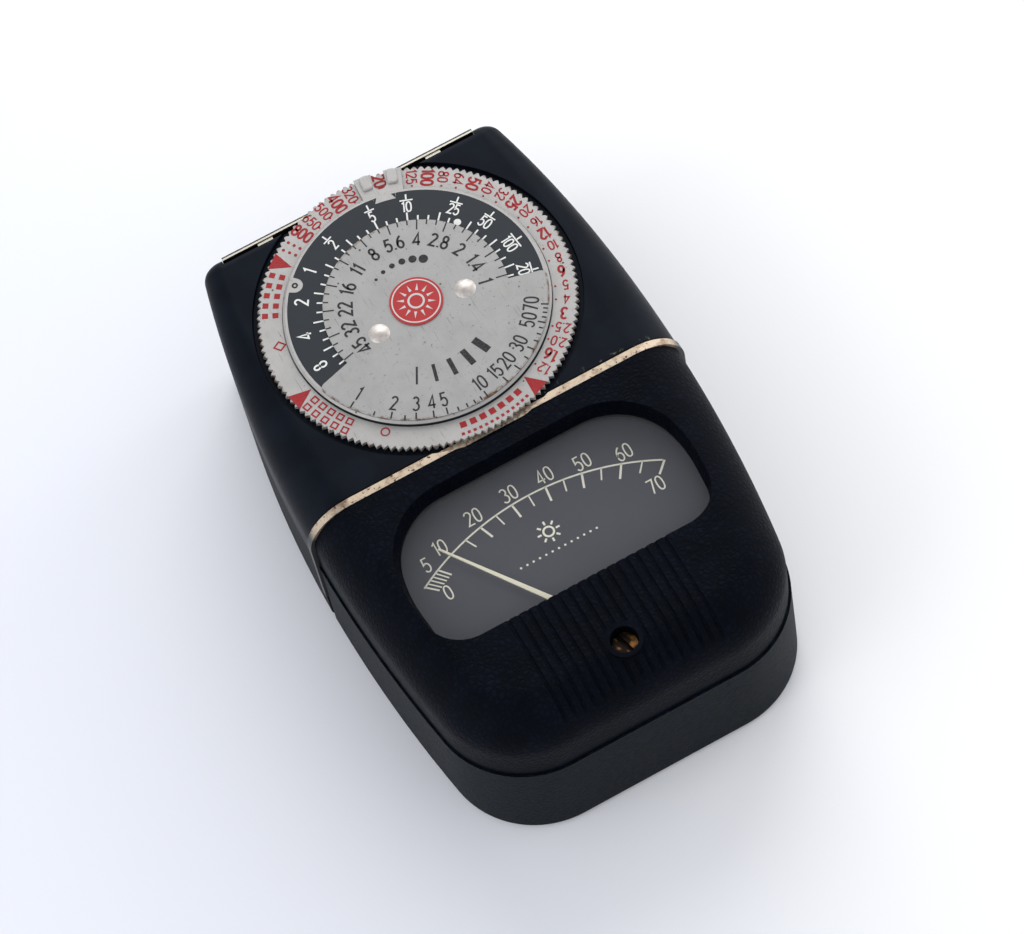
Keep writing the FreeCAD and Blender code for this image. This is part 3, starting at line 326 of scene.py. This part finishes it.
def cover_paint():
    """Black paint on the cover, bare and bright along its top edge and on its two catch tabs."""
    p = Paint("cover_black", Metallic=0.2, Roughness=0.4)
    edge = p.step(p.axis("Z"), COVER_TOP - 0.12, COVER_TOP - 0.04)
    bare = p.math("MULTIPLY", edge, p.step(p.axis("Y"), 44.46, 44.40))
    tab = p.math("MULTIPLY", p.step(p.axis("Y"), 44.1, 44.05), p.step(p.axis("Z"), 20.0, 22.0))
    bright = p.math("MAXIMUM", bare, tab)
    p.set("Base Color", p.mix(bright, srgb(20, 21, 24), srgb(196, 190, 176)))
    p.set("Metallic", p.math("MULTIPLY", bright, 0.9))
    p.set("Roughness", p.spread(p.noise(3.0, 3.0), 0.32, 0.5))
    p.set("Normal", p.bump(p.noise(4.0, 3.0), 0.008, 0.5))
    return p.mat


def winding():
    """Fine wire laid in turns."""
    p = Paint("winding_copper", Metallic=0.8, Roughness=0.35)
    turns = p.node("TexWave", {"Vector": p.mm((0, 0, 1)), "Scale": 2.2}, bands_direction="Z").outputs["Fac"]
    p.set("Base Color", p.mix(turns, srgb(96, 44, 20), srgb(186, 104, 58)))
    p.set("Normal", p.bump(turns, 0.05, 0.8))
    return p.mat


SILVER = srgb(174, 172, 169)
PLATE_SILVER = srgb(160, 159, 157)
MATERIALS = {
    "front_shell": wrinkled_black(),
    "hood_front_shell": satin_black(),
    "back_shell": back_black("base_back_black", srgb(3, 9, 15), srgb(15, 25, 35)),
    "hood_back_shell": back_black("hood_back_black", srgb(3, 7, 13), srgb(13, 20, 29)),
    "trim_band": band_metal(),
    "exposure_ring": silver_face("ring_silver", SILVER, [
        (22.4, 22.9, -23.0, 23.0, DIAL_Y - 23, DIAL_Y + 23),
    ]),
    "top_plate": silver_face("plate_silver", PLATE_SILVER, [
        (12.9, 13.3, -6.0, 1.5, DIAL_Y + 9, DIAL_Y + 20),
        (18.2, 18.8, -2.0, 3.0, DIAL_Y - 20, DIAL_Y - 15),
        (18.45, 18.9, -19.0, 19.0, DIAL_Y - 20, DIAL_Y),
        (13.2, 13.5, -12.0, 12.0, DIAL_Y, DIAL_Y + 14),
    ]),
    "speed_disc": silver_face("disc_silver", SILVER, [], DISC_TOP - 0.33),
    "scale_plate": scale_face(),
    "needle": ink("needle_cream", srgb(214, 208, 184), 0.5),
    "cover": cover_paint(),
}
GLASS = clear_glass("glass_clear")
BRASS = turned_metal("brass_turned", (0.62, 0.42, 0.17), 0.32)
STEEL = turned_metal("steel_bright", (0.62, 0.61, 0.6), 0.3)
DARK_STEEL = turned_metal("steel_dark", (0.2, 0.2, 0.21), 0.42)
MOULDING = plain_coat("moulding_black", srgb(28, 28, 29))
BLACK_METAL = plain_coat("liner_black", srgb(24, 25, 27), 0.7)
WINDING = winding()
MATERIALS.update({
    "window_glass": GLASS, "cell_glass": GLASS, "glass_retainer": BLACK_METAL, "hood_liner": BLACK_METAL,
    "scale_pillars": BRASS, "scale_screws": BRASS, "core_bracket": BRASS,
    "upper_bridge": BRASS, "lower_bridge": BRASS,
    "jewel_screws": BRASS, "lower_hairspring": BRASS, "upper_hairspring": BRASS, "cell_contact_ring": BRASS,
    "cell_back_contact": BRASS, "dial_hub": BRASS, "zero_screw": tarnished_brass(), "zero_arm": BRASS,
    "bridge_screws": STEEL, "case_screws": DARK_STEEL, "hood_screws": DARK_STEEL, "catch_springs": STEEL,
    "hub_washer": STEEL, "hub_nut": STEEL, "dial_washer": STEEL, "cover_hinge_pin": STEEL,
    "dial_rivets": turned_metal("rivet_steel", (0.62, 0.57, 0.53), 0.45, 0.7),
    "pointer_staff": STEEL, "balance_weights": STEEL, "pole_pieces": DARK_STEEL, "iron_core": DARK_STEEL,
    "magnet": plain_coat("magnet_grey", srgb(88, 88, 90), 0.5, 0.6),
    "movement_frame": MOULDING, "cell_frame": MOULDING,
    "selenium_cell": plain_coat("cell_dark", srgb(62, 56, 66), 0.35, 0.3),
    "lead_wires": plain_coat("wire_red", srgb(120, 34, 30), 0.45),
    "moving_coil": WINDING, "trimming_resistor": WINDING,
    "medallion": ink("enamel_red", srgb(170, 44, 46), 0.35),
})
for node_name, material in MATERIALS.items():
    mesh = NODES[node_name].data
    mesh.materials.clear()
    mesh.materials.append(material)


# ====================================================================================================
# Printing: strokes of ink laid on flat faces
# ====================================================================================================
def arc(cx, cy, rx, ry, start, end, power=2.0, count=12):
    """Points on an ellipse from start to end degrees; a power above 2 squares it off."""
    points = []
    for i in range(count + 1):
        a = math.radians(start + (end - start) * i / count)
        c, s = math.cos(a), math.sin(a)
        x = cx + rx * math.copysign(abs(c) ** (2 / power), c)
        y = cy + ry * math.copysign(abs(s) ** (2 / power), s)
        points.append((x, y))
    return points


def narrow_numerals():
    """Condensed single-line numerals: for each its width and its strokes, in a height of 1."""
    sign = {
        "0": (0.44, [arc(0.22, 0.5, 0.2, 0.48, 90, 450, 2.4, 24)]),
        "1": (0.20, [[(0.0, 0.82), (0.15, 0.98), (0.15, 0.0)]]),
        "2": (0.42, [arc(0.21, 0.75, 0.19, 0.23, 165, -20, 2.0, 12) + [(0.02, 0.02), (0.42, 0.02)]]),
        "3": (0.42, [arc(0.19, 0.76, 0.18, 0.22, 150, -80, 2.0, 12),
                     arc(0.19, 0.27, 0.21, 0.27, 85, -150, 2.0, 14)]),
        "4": (0.46, [[(0.33, 0.0), (0.33, 0.98), (0.01, 0.26), (0.46, 0.26)]]),
        "5": (0.42, [[(0.38, 0.98), (0.07, 0.98), (0.04, 0.54)]
                     + arc(0.19, 0.31, 0.2, 0.31, 125, -150, 2.0, 14)]),
        "6": (0.42, [arc(0.21, 0.29, 0.19, 0.29, 90, 450, 2.0, 20),
                     arc(0.47, 0.29, 0.45, 0.71, 108, 180, 2.0, 10)]),
        "7": (0.42, [[(0.0, 0.98), (0.4, 0.98), (0.14, 0.0)]]),
        "8": (0.42, [arc(0.21, 0.75, 0.16, 0.23, 90, 450, 2.0, 18),
                     arc(0.21, 0.26, 0.2, 0.26, 90, 450, 2.0, 18)]),
        "9": (0.42, [arc(0.21, 0.71, 0.19, 0.29, 90, 450, 2.0, 20),
                     arc(-0.05, 0.71, 0.45, 0.71, 0, -72, 2.0, 10)]),
        ".": (0.06, [[(0.03, -0.02), (0.03, 0.1)]]),
    }
    return sign


NUMERALS = narrow_numerals()


class Print:
    """Ink laid on one flat face: filled outlines, lines and numbers, gathered into one mesh."""

    def __init__(self, z):
        self.z = z
        self.points = []
        self.faces = []

    def outline(self, points):
        start = len(self.points)
        self.points += [(x, y, self.z) for x, y in points]
        area = sum(points[i - 1][0] * points[i][1] - points[i][0] * points[i - 1][1]
                   for i in range(len(points)))
        face = list(range(start, start + len(points)))
        self.faces.append(face if area > 0 else face[::-1])

    def line(self, points, width):
        """A run of constant width along the points, mitred at its corners."""
        half = width / 2
        closed = math.dist(points[0], points[-1]) < 1e-6
        if closed:
            points = points[:-1]
        count = len(points)
        left, right = [], []
        for i, (x, y) in enumerate(points):
            before = points[i - 1] if i or closed else None
            after = points[(i + 1) % count] if i < count - 1 or closed else None
            dirs = []
            for a, b in ((before, (x, y)), ((x, y), after)):
                if a is not None and b is not None:
                    length = math.dist(a, b) or 1
                    dirs.append(((b[0] - a[0]) / length, (b[1] - a[1]) / length))
            dx = sum(d[0] for d in dirs)
            dy = sum(d[1] for d in dirs)
            length = math.hypot(dx, dy) or 1
            nx, ny = -dy / length, dx / length
            turn = max(0.45, nx * -dirs[0][1] + ny * dirs[0][0])
            left.append((x + nx * half / turn, y + ny * half / turn))
            right.append((x - nx * half / turn, y - ny * half / turn))
        for i in range(count if closed else count - 1):
            j = (i + 1) % count
            self.outline([left[i], right[i], right[j], left[j]])

    def dot(self, x, y, r):
        step = math.pi / 8
        self.outline([(x + r * math.cos(a * step), y + r * math.sin(a * step)) for a in range(16)])

    def text(self, words, height, weight, x, y, right, up, gap=0.13, wide=1.0):
        """A number centred on x, y. right and up are the directions in which it reads and stands."""
        scale = height
        total = sum(NUMERALS[c][0] * wide + gap for c in words) - gap
        at = -total / 2
        for c in words:
            span, strokes = NUMERALS[c]
            for stroke in strokes:
                run = []
                for u, v in stroke:
                    a = (at + u * wide) * scale
                    b = (v - 0.5) * scale
                    run.append((x + right[0] * a + up[0] * b, y + right[1] * a + up[1] * b))
                self.line(run, weight)
            at += span * wide + gap

    def build(self, name, material, body):
        mesh = bpy.data.meshes.new(name)
        mesh.from_pydata([Vector(p) * MM for p in self.points], [], self.faces)
        mesh.materials.append(material)
        piece = bpy.data.objects.new(name, mesh)
        bpy.context.scene.collection.objects.link(piece)
        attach(piece, body)
        return piece


def clock(degrees, r, y0=None):
    """A point at radius r from the dial's centre, degrees clockwise from +Y."""
    a = math.radians(degrees)
    return (r * math.sin(a), (DIAL_Y if y0 is None else y0) + r * math.cos(a))


def out(degrees):
    a = math.radians(degrees)
    return (math.sin(a), math.cos(a))


def round_(degrees):
    a = math.radians(degrees)
    return (math.cos(a), -math.sin(a))


def back(v):
    return (-v[0], -v[1])


def radial_tick(sheet, degrees, r0, r1, width):
    sheet.line([clock(degrees, r0), clock(degrees, r1)], width)


def block_row(sheet, middle, r, count, pitch, size, solid=True):
    """A row of plain square marks along a circle, filled or hollow."""
    for k in range(count):
        a = middle + pitch * (k - (count - 1) / 2)
        half = math.degrees(size / 2 / r)
        near, far = r - size / 2, r + size / 2
        corners = [clock(a - half, near), clock(a + half, near), clock(a + half, far), clock(a - half, far)]
        if solid:
            sheet.outline(corners)
        else:
            sheet.line(corners + corners[:1], 0.24)


def sun(sheet, x, y, r, weight):
    """A plain circle with eight rays."""
    def around(degrees, radius):
        a = math.radians(degrees)
        return (x + radius * math.cos(a), y + radius * math.sin(a))
    sheet.line([around(a, r * 0.5) for a in range(0, 361, 15)], weight)
    for k in range(8):
        sheet.line([around(45 * k, r * 0.75), around(45 * k, r * 1.15)], weight)


def film_speeds():
    """The ring's dark red printing: film speeds, position marks."""
    s = Print(RING_TOP + INK)
    speeds = ("800 650 500 400 320 250 200 160 125 100 80 64 50 40 32 25 20 16 12 10 "
              "8 6 5 4 3 2.5 2.0 1.6 1.2").split()
    strong = {"800", "400", "200", "100", "50", "25", "12", "6", "3", "1.6"}
    for i, word in enumerate(speeds):
        a = -24.4 + 6.23 * i
        bold = word in strong
        height = 1.75 if bold else 1.45
        x, y = clock(a, 21.0 if bold else 21.2)
        s.text(word, height, 0.35 if bold else 0.24, x, y, back(out(a)), round_(a),
               gap=0.13 if bold else 0.15,
               wide=1.12 if bold else 1.2)
        if not bold:
            s.dot(*clock(a, 19.72), 0.17)
    for a in (-30.4, -34.0):
        for r in (19.9, 20.9, 21.9):
            s.dot(*clock(a, r), 0.24)
    for apex, low, high in ((-39.7, -43.2, -36.4), (-101.9, -105.3, -98.5), (157.4, 154.0, 161.0)):
        s.outline([clock(apex, 19.5), clock(low, 22.7), clock(high, 22.7)])
    for middle, solid in ((-54.2, True), (-115.5, False)):
        for r in (20.3, 21.8):
            block_row(s, middle, r, 5, 4.4, 0.85, solid)
    block_row(s, 176.8, 20.5, 7, 4.2, 0.95)
    block_row(s, 176.8, 21.9, 13, 2.3, 0.45)
    x, y = clock(-77.3, 20.3)
    u, t = out(-77.3), round_(-77.3)
    def near(a, b):
        return (x + u[0] * a + t[0] * b, y + u[1] * a + t[1] * b)
    s.line([near(0.85, 0), near(0, 0.72), near(-0.85, 0), near(0, -0.72), near(0.85, 0)], 0.24)
    x, y = clock(-139.5, 20.4)
    u, t = out(-139.5), round_(-139.5)
    s.line([near(0.6 * math.cos(k * math.pi / 8), 0.6 * math.sin(k * math.pi / 8)) for k in range(17)], 0.22)
    red = ink("ink_dark_red", srgb(150, 22, 27), worn=0.06)
    return s.build("print_film_speeds", red, "ring")


DARK_IN, DARK_OUT = 9.4, 18.5
EAR_ANGLE, EAR_R, EAR_SIZE = -49.4, 17.9, 1.15


def dark_face():
    """The disc's dark ground: a ring of ink that leaves the index dovetail and the rivet's ear bare."""
    s = Print(DISC_TOP + INK)
    foot_left, foot_right, neck_left, neck_right = 7.9, 18.0, 9.4, 16.2
    foot_r = 17.6

    def edge(a):
        if foot_left <= a <= foot_right:
            return foot_r
        d = math.radians(a - EAR_ANGLE)
        across = EAR_R * math.sin(d)
        if abs(d) < 0.3 and abs(across) < EAR_SIZE:
            return min(DARK_OUT, EAR_R * math.cos(d) - math.sqrt(EAR_SIZE ** 2 - across ** 2))
        return DARK_OUT

    count = 1440
    angles = [360 * i / count - 180 for i in range(count)]
    inner = [clock(a, DARK_IN) for a in angles]
    outer = [clock(a, edge(a)) for a in angles]
    for i in range(count):
        s.outline([inner[i - 1], outer[i - 1], outer[i], inner[i]])
    s.outline([clock(foot_left, foot_r), clock(neck_left, DARK_OUT), clock(foot_left, DARK_OUT)])
    s.outline([clock(foot_right, foot_r), clock(foot_right, DARK_OUT), clock(neck_right, DARK_OUT)])
    s.line([clock_about(EAR_ANGLE, EAR_R, a, 0.33) for a in range(0, 361, 30)], 0.26)
    return s.build("print_disc_ground", ink("ink_charcoal", srgb(33, 38, 43), 0.5), "disc")


def clock_about(degrees, r, turn, small):
    """A point on a little circle around the point at that angle and radius."""
    x, y = clock(degrees, r)
    a = math.radians(turn)
    return (x + small * math.cos(a), y + small * math.sin(a))


def shutter_speeds():
    """White printing on the disc's dark ground."""
    s = Print(DISC_TOP + 2 * INK)
    speeds = ("8", "4", "2", "1", "1/2", "1/5", "1/10", "1/25", "1/50", "1/100", "1/200")
    places = (-96.4, -77.6, -58.2, -40.2, -21.5, 3.9, 22.6, 47.5, 66.2, 84.8, 103.5)
    for word, a in zip(speeds, places):
        if "/" not in word:
            s.text(word, 1.95, 0.27, *clock(a, 16.5), round_(a), out(a), gap=0.12, wide=1.1)
            continue
        below = word.split("/")[1]
        radial_tick(s, a, 17.1, 17.95, 0.24)
        bar = 0.75 if len(below) == 1 else 0.95 if len(below) == 2 else 1.35
        x, y = clock(a, 16.95)
        t = round_(a)
        s.line([(x - t[0] * bar, y - t[1] * bar), (x + t[0] * bar, y + t[1] * bar)], 0.22)
        s.text(below, 1.65, 0.23, *clock(a, 15.85), round_(a), out(a), gap=0.13, wide=1.05)
    for k in range(-17, 19):
        a = 3.9 + 6.2233 * k - 0.3
        if -106 < a < 109 and k != 8:
            radial_tick(s, a, 13.0, 14.9 if k % 3 == 0 else 14.3, 0.25)
    s.dot(*clock(52.5, 14.0), 0.55)
    return s.build("print_shutter_speeds", ink("ink_white", srgb(222, 222, 218)), "disc")


def plate_scales():
    """Black printing on the fixed plate: f-stops above, the light scale below."""
    s = Print(PLATE_TOP + INK)
    stops = "45 32 22 16 11 8 5.6 4 2.8 2 1.4 1".split()
    step = 18.67
    for i, word in enumerate(stops):
        a = -102.7 + step * i
        s.text(word, 2.0, 0.32, *clock(a, 10.15), round_(a), out(a), gap=0.17, wide=1.1)
        radial_tick(s, a, 11.75, 13.4, 0.2)
        if i < len(stops) - 1:
            radial_tick(s, a + step / 3, 12.6, 13.4, 0.2)
            radial_tick(s, a + 2 * step / 3, 12.6, 13.4, 0.2)
    for k in range(6):
        s.dot(*clock(-28.0 + 12.8 * k, 6.95), 0.24 + 0.09 * k)
    for k in range(5):
        radial_tick(s, 207.4 - 12.5 * k, 10.5, 13.3, 0.3 + 0.2 * k)

    def place(light):
        return 237.4 - step * math.log2(light)

    for light in (1, 2, 3, 4, 5, 10, 15, 20, 30, 50, 70):
        a = place(light) + (-1.0 if light == 10 else 0.4 if light == 15 else 0)
        s.text(str(light), 2.1, 0.27, *clock(a, 16.35), back(round_(a)), back(out(a)), gap=0.15)
    for light in (1, 1.5, 2, 2.5, 3, 4, 5, 6, 7, 8, 9, 10, 15, 20, 25, 30, 35, 40, 45, 50, 55, 60, 65, 70):
        whole = light in (1, 2, 3, 4, 5, 10, 15, 20, 30, 50, 70)
        radial_tick(s, place(light), 17.75 if whole else 18.15, 18.82, 0.23)
    return s.build("print_plate_scales", ink("ink_black", srgb(22, 22, 24), worn=0.1), "hood")


def sun_badge():
    """A generic sun on the medallion: a rim line, rays and a disc."""
    s = Print(MEDAL_TOP + INK)
    s.line([clock(a, 3.45) for a in range(0, 361, 6)], 0.2)
    for k in range(12):
        a = 30.0 * k
        s.outline([clock(a - 7, 1.75), clock(a, 2.85), clock(a + 7, 1.75)])
    s.line([clock(a, 1.1) for a in range(0, 361, 10)], 0.3)
    return s.build("print_sun_badge", ink("badge_silver", srgb(196, 194, 190), 0.4), "hood")


def light_scale():
    """Cream printing of the meter scale."""
    s = Print(SCALE_TOP + INK)
    centre_y, r = -47.8, 38.3
    left = math.degrees(math.asin(-19.2 / r))
    right = math.degrees(math.asin(18.8 / r))
    s.line([clock(left + (right - left) * i / 60, r, centre_y) for i in range(61)], 0.26)

    def on_arc(value):
        """Where the line from the pivot at this reading meets the scale's arc, and that line's direction."""
        a = math.radians(-46.2 + 1.32 * value)
        dx, dy = math.sin(a), math.cos(a)
        b = dy * (PIVOT_Y - centre_y)
        t = -b + math.sqrt(b * b - (PIVOT_Y - centre_y) ** 2 + r * r)
        return (dx * t, PIVOT_Y + dy * t), (dx, dy)

    for value in (0, 1, 2, 3, 4, 5, 10, 15, 20, 25, 30, 35, 40, 45, 50, 55, 60, 65, 70):
        (x, y), (dx, dy) = on_arc(value)
        major = value % 10 == 0 and value > 0
        length, width = (2.35, 0.32) if major else (1.9, 0.22)
        if value < 10:
            length = 2.1
            width = 0.26 if value in (0, 5) else 0.2
        s.line([(x, y), (x - dx * length, y - dy * length)], width)
    numbers = {5: (-17.3, -11.6), 10: (-14.4, -10.2), 20: (-8.2, -8.4), 30: (-2.2, -7.85), 40: (3.4, -7.9),
               50: (9.0, -8.8), 60: (14.7, -10.5), 0: (-16.6, -16.9), 70: (16.1, -17.35)}
    for value, (x, y) in numbers.items():
        s.text(str(value), 2.25, 0.22, x, y, (1, 0), (0, 1), gap=0.14)
    sun(s, -0.2, -15.9, 1.5, 0.3)
    for k in range(13):
        s.dot(-0.2 + 1.0 * (k - 6), -18.9, 0.17)
    return s.build("print_light_scale", ink("ink_cream", srgb(216, 212, 194), worn=0.05), "base")


film_speeds()
dark_face()
shutter_speeds()
plate_scales()
sun_badge()
light_scale()


# ====================================================================================================
# Floor, light and camera
# ====================================================================================================
def studio_floor():
    half = 2.0
    mesh = bpy.data.meshes.new("floor")
    corners = [(-half, -half, 0), (half, -half, 0), (half, half, 0), (-half, half, 0)]
    mesh.from_pydata(corners, [], [(0, 1, 2, 3)])
    floor = bpy.data.objects.new("floor", mesh)
    bpy.context.scene.collection.objects.link(floor)
    p = Paint("paper_white", Roughness=0.9, Specular_IOR_Level=0.1)
    # painted shade: the floor is coloured greyer and bluer towards -X and white towards +X, for the soft
    # shadow beside the object
    p.set("Base Color", p.mix(p.step(p.axis("X"), -75.0, 60.0), (0.83, 0.845, 0.9), (0.97, 0.97, 0.97)))
    mesh.materials.append(p.mat)


def area_light(name, place, size, power, colour=(1, 1, 1)):
    data = bpy.data.lights.new(name, "AREA")
    data.shape = "DISK"
    data.size = size
    data.energy = power
    data.color = colour
    lamp = bpy.data.objects.new(name, data)
    lamp.location = place
    lamp.rotation_euler = (Vector((0, 0, 0)) - Vector(place)).to_track_quat("-Z", "Y").to_euler()
    bpy.context.scene.collection.objects.link(lamp)


def studio_light():
    """A pale room with a dark patch overhead towards the far side, and soft lamps at the back and right."""
    world = bpy.data.worlds.new("studio")
    bpy.context.scene.world = world
    world.use_nodes = True
    tree = world.node_tree
    room = tree.nodes["Background"]
    room.inputs["Color"].default_value = (0.93, 0.95, 1.0, 1)
    direction = tree.nodes.new("ShaderNodeTexCoord").outputs["Generated"]
    facing = tree.nodes.new("ShaderNodeVectorMath")
    facing.operation = "DOT_PRODUCT"
    facing.inputs[1].default_value = (0.133, 0.444, 0.886)
    tree.links.new(direction, facing.inputs[0])
    patch = tree.nodes.new("ShaderNodeMapRange")
    patch.interpolation_type = "SMOOTHSTEP"
    patch.inputs["From Min"].default_value = 0.72
    patch.inputs["From Max"].default_value = 0.96
    patch.inputs["To Min"].default_value = 0.92
    patch.inputs["To Max"].default_value = 0.25
    tree.links.new(facing.outputs["Value"], patch.inputs["Value"])
    tree.links.new(patch.outputs["Result"], room.inputs["Strength"])
    area_light("key", (0.30, 0.66, 0.55), 0.8, 4.5)
    area_light("side", (0.75, 0.15, 0.30), 0.5, 1.1)
    area_light("left", (-0.70, -0.1, 0.45), 0.6, 1.4)
    view = bpy.context.scene.view_settings
    view.view_transform = "Standard"
    view.look = "None"


def camera():
    """Camera from its angles about the object: turned round, raised, rolled, and shifted in its own plane."""
    turn, rise, roll = math.radians(-16.60), math.radians(62.36), math.radians(-13.19)
    distance, across, up_by = 0.65068, 0.01009, -0.00874
    back_dir = Vector((math.sin(turn) * math.cos(rise), -math.cos(turn) * math.cos(rise), math.sin(rise)))
    right = Vector((math.cos(turn), math.sin(turn), 0))
    up = back_dir.cross(right)
    c, s = math.cos(roll), math.sin(roll)
    x_axis = right * c + up * s
    y_axis = up * c - right * s
    data = bpy.data.cameras.new("camera")
    data.sensor_width = 36.0
    data.lens = 154.69
    data.clip_start = 0.01
    cam = bpy.data.objects.new("camera", data)
    place = Vector((0, DIAL_Y * MM, 0)) + x_axis * across + y_axis * up_by + back_dir * distance
    rotation = Matrix((x_axis, y_axis, back_dir)).transposed()
    cam.matrix_world = Matrix.Translation(place) @ rotation.to_4x4()
    bpy.context.scene.collection.objects.link(cam)
    bpy.context.scene.camera = cam


studio_floor()
studio_light()
camera()
